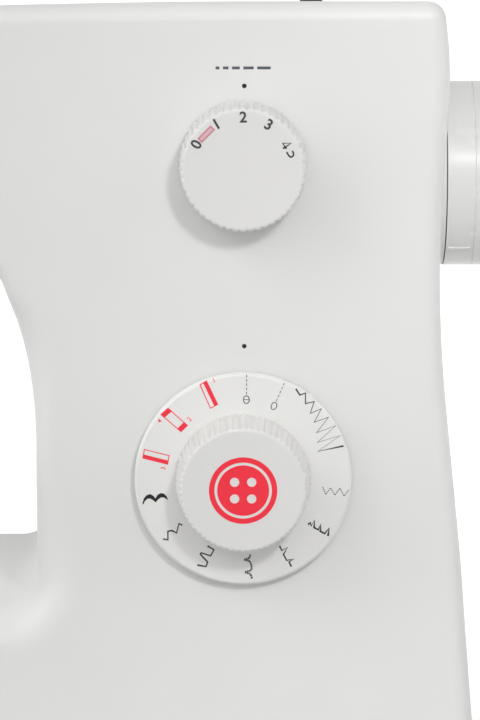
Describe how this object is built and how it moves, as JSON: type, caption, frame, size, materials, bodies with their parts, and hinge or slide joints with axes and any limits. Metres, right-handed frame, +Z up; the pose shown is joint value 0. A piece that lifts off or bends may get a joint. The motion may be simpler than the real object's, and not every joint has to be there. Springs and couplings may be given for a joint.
{
  "type": "sewing machine",
  "caption": "Domestic free-arm sewing machine with a stitch-length dial, a round pattern selector, handwheel, needle and presser bar, rotary hook and carrying handle.",
  "frame": {"origin": "middle of the overall box at the level of the rubber feet", "axes": "+Z up, +X from the needle end towards the handwheel, -Y towards the person sewing"},
  "size_m": [0.385, 0.155, 0.3153],
  "materials": {
    "casing_white": "satin moulded shell",
    "base_grey": "fine matte",
    "dial_white": "satin",
    "foot_rubber": "matte",
    "cast_alloy": "as cast",
    "steel": "ground",
    "chromed": "polished",
    "bronze": "sintered",
    "black_plastic": "fine matte",
    "motor_paint": "satin",
    "belt_rubber": "matte",
    "clear_plastic": "clear",
    "lamp_clear": "frosted",
    "nylon": "natural",
    "handle_white": "satin"
  },
  "bodies": {
    "machine": {"front_cover": "casing_white", "rear_cover": "casing_white", "top_cover": "casing_white", "base_tray": "base_grey", "frame_casting": "cast_alloy", "free_arm_cover": "casing_white", "free_arm_bottom": "base_grey", "needle_plate": "steel", "fixing_screws": "steel", "rubber_feet": "foot_rubber", "shaft_bushes": "bronze", "motor_body": "motor_paint", "motor_belt": "belt_rubber", "timing_belt": "belt_rubber", "lamp_lens": "lamp_clear", "switch_bezel": "base_grey", "power_inlet": "black_plastic", "thread_guides": "chromed", "tension_discs": "steel", "bobbin_case": "black_plastic", "handle_brackets": "handle_white", "presser_spring": "steel"},
    "drive": {"handwheel": "casing_white", "main_shaft": "steel", "drive_pulley": "nylon", "upper_timing_pulley": "nylon", "needle_crank": "steel"},
    "rod": {"connecting_rod": "cast_alloy"},
    "lower_drive": {"lower_shaft": "steel", "lower_timing_pulley": "nylon", "bevel_gear": "nylon"},
    "hook": {"shuttle_hook": "steel"},
    "bobbin_body": {"bobbin": "clear_plastic"},
    "motor_rotor": {"motor_shaft": "steel"},
    "swing_frame": {"needle_swing_frame": "cast_alloy"},
    "needle_bar_body": {"needle_bar": "steel", "needle_clamp": "chromed", "needle": "chromed"},
    "takeup": {"takeup_lever": "steel"},
    "presser": {"presser_bar": "steel", "foot_ankle": "chromed"},
    "foot": {"presser_foot": "chromed"},
    "lifter": {"presser_lifter": "dial_white"},
    "length_dial": {"stitch_length_dial": "dial_white", "stitch_length_shaft": "steel"},
    "pattern_dial": {"pattern_disc": "dial_white", "pattern_knob": "dial_white", "pattern_cam": "nylon"},
    "tension": {"tension_dial": "dial_white"},
    "reverse": {"reverse_lever": "dial_white"},
    "rocker": {"power_rocker": "black_plastic"},
    "winder_slide": {"winder_arm": "black_plastic"},
    "winder": {"bobbin_winder": "black_plastic"},
    "spool": {"spool_pin": "steel"},
    "handle": {"carry_handle": "handle_white"},
    "face": {"face_cover": "casing_white"},
    "bobbin_lid": {"bobbin_cover": "clear_plastic"},
    "table": {"extension_table": "casing_white"},
    "table_lid": {"accessory_lid": "casing_white"},
    "feed": {"feed_dog": "steel"}
  },
  "joints": [
    {"name": "handwheel_turn", "type": "hinge", "parent": "machine", "child": "drive", "pos_m": [0.18, 0.0065, 0.233], "axis": [1, 0, 0], "continuous": true},
    {"name": "rod_pivot", "type": "hinge", "parent": "drive", "child": "rod", "pos_m": [-0.141, 0.0065, 0.248], "axis": [1, 0, 0], "continuous": true},
    {"name": "lower_shaft_turn", "type": "hinge", "parent": "machine", "child": "lower_drive", "pos_m": [0, -0.0105, 0.048], "axis": [1, 0, 0], "continuous": true},
    {"name": "hook_turn", "type": "hinge", "parent": "machine", "child": "hook", "pos_m": [-0.15, -0.0105, 0.07], "axis": [0, 0, 1], "continuous": true},
    {"name": "motor_turn", "type": "hinge", "parent": "machine", "child": "motor_rotor", "pos_m": [0.147, 0.0205, 0.062], "axis": [1, 0, 0], "continuous": true},
    {"name": "bobbin_turn", "type": "hinge", "parent": "machine", "child": "bobbin_body", "pos_m": [-0.15, -0.0105, 0.075], "axis": [0, 0, 1], "continuous": true},
    {"name": "needle_swing", "type": "hinge", "parent": "machine", "child": "swing_frame", "pos_m": [-0.15, 0.0065, 0.2686], "axis": [0, 1, 0], "range_deg": [-0.8, 0.8]},
    {"name": "needle_bar_stroke", "type": "slide", "parent": "swing_frame", "child": "needle_bar_body", "axis": [0, 0, 1], "range_m": [-0.03, 0]},
    {"name": "takeup_swing", "type": "hinge", "parent": "machine", "child": "takeup", "pos_m": [-0.1668, -0.0175, 0.235], "axis": [1, 0, 0], "range_deg": [-5, 55]},
    {"name": "presser_lift", "type": "slide", "parent": "machine", "child": "presser", "axis": [0, 0, 1], "range_m": [0, 0.0061], "deforming": ["presser_spring"]},
    {"name": "foot_tilt", "type": "hinge", "parent": "presser", "child": "foot", "pos_m": [-0.15, 0.0195, 0.0892], "axis": [1, 0, 0], "range_deg": [-8, 1.5]},
    {"name": "lifter_turn", "type": "hinge", "parent": "machine", "child": "lifter", "pos_m": [-0.15, 0.03, 0.18], "axis": [0, -1, 0], "range_deg": [0, 45]},
    {"name": "stitch_length_turn", "type": "hinge", "parent": "machine", "child": "length_dial", "pos_m": [0.092, -0.0595, 0.245], "axis": [0, 1, 0], "range_deg": [-71, 61]},
    {"name": "pattern_turn", "type": "hinge", "parent": "machine", "child": "pattern_dial", "pos_m": [0.092, -0.0595, 0.1322], "axis": [0, 1, 0], "continuous": true},
    {"name": "tension_turn", "type": "hinge", "parent": "machine", "child": "tension", "pos_m": [-0.114, -0.0405, 0.262], "axis": [1, 0, 0], "range_deg": [-150, 150]},
    {"name": "reverse_press", "type": "hinge", "parent": "machine", "child": "reverse", "pos_m": [0.132, -0.0395, 0.03], "axis": [1, 0, 0], "range_deg": [0, 10], "stiffness_Nm_per_rad": 0.6},
    {"name": "rocker_tilt", "type": "hinge", "parent": "machine", "child": "rocker", "pos_m": [0.1685, 0.0335, 0.076], "axis": [0, -1, 0], "range_deg": [0, 12]},
    {"name": "winder_engage", "type": "slide", "parent": "machine", "child": "winder_slide", "axis": [1, 0, 0], "range_m": [0, 0.007]},
    {"name": "winder_spin", "type": "hinge", "parent": "winder_slide", "child": "winder", "pos_m": [0.117, 0.0205, 0.285], "axis": [0, 0, 1], "continuous": true},
    {"name": "spool_pin_lift", "type": "slide", "parent": "machine", "child": "spool", "axis": [0, 0, 1], "range_m": [0, 0.058]},
    {"name": "handle_swing", "type": "hinge", "parent": "machine", "child": "handle", "pos_m": [0.01, 0.0705, 0.256], "axis": [1, 0, 0], "range_deg": [0, 170]},
    {"name": "face_cover_swing", "type": "hinge", "parent": "machine", "child": "face", "pos_m": [-0.1724, 0.0667, 0.222], "axis": [0, 0, -1], "range_deg": [0, 100]},
    {"name": "bobbin_cover_lift", "type": "hinge", "parent": "machine", "child": "bobbin_lid", "pos_m": [-0.15, -0.0264, 0.08095], "axis": [1, 0, 0], "range_deg": [0, 100]},
    {"name": "table_slide", "type": "slide", "parent": "machine", "child": "table", "axis": [-1, 0, 0], "range_m": [0, 0.19]},
    {"name": "table_lid_drop", "type": "hinge", "parent": "table", "child": "table_lid", "pos_m": [-0.096, -0.06075, 0.0284], "axis": [1, 0, 0], "range_deg": [0, 85]},
    {"name": "feed_advance", "type": "slide", "parent": "machine", "child": "feed", "axis": [0, 1, 0], "range_m": [-0.002, 0.002]}
  ],
  "couplings": [
    {"joint": "rod_pivot", "follows": "handwheel_turn", "ratio": -1},
    {"joint": "lower_shaft_turn", "follows": "handwheel_turn", "ratio": 1},
    {"joint": "hook_turn", "follows": "handwheel_turn", "ratio": -2},
    {"joint": "motor_turn", "follows": "handwheel_turn", "ratio": 4.6667},
    {"joint": "lifter_turn", "follows": "presser_lift", "rad_per_m": 128.7}
  ]
}
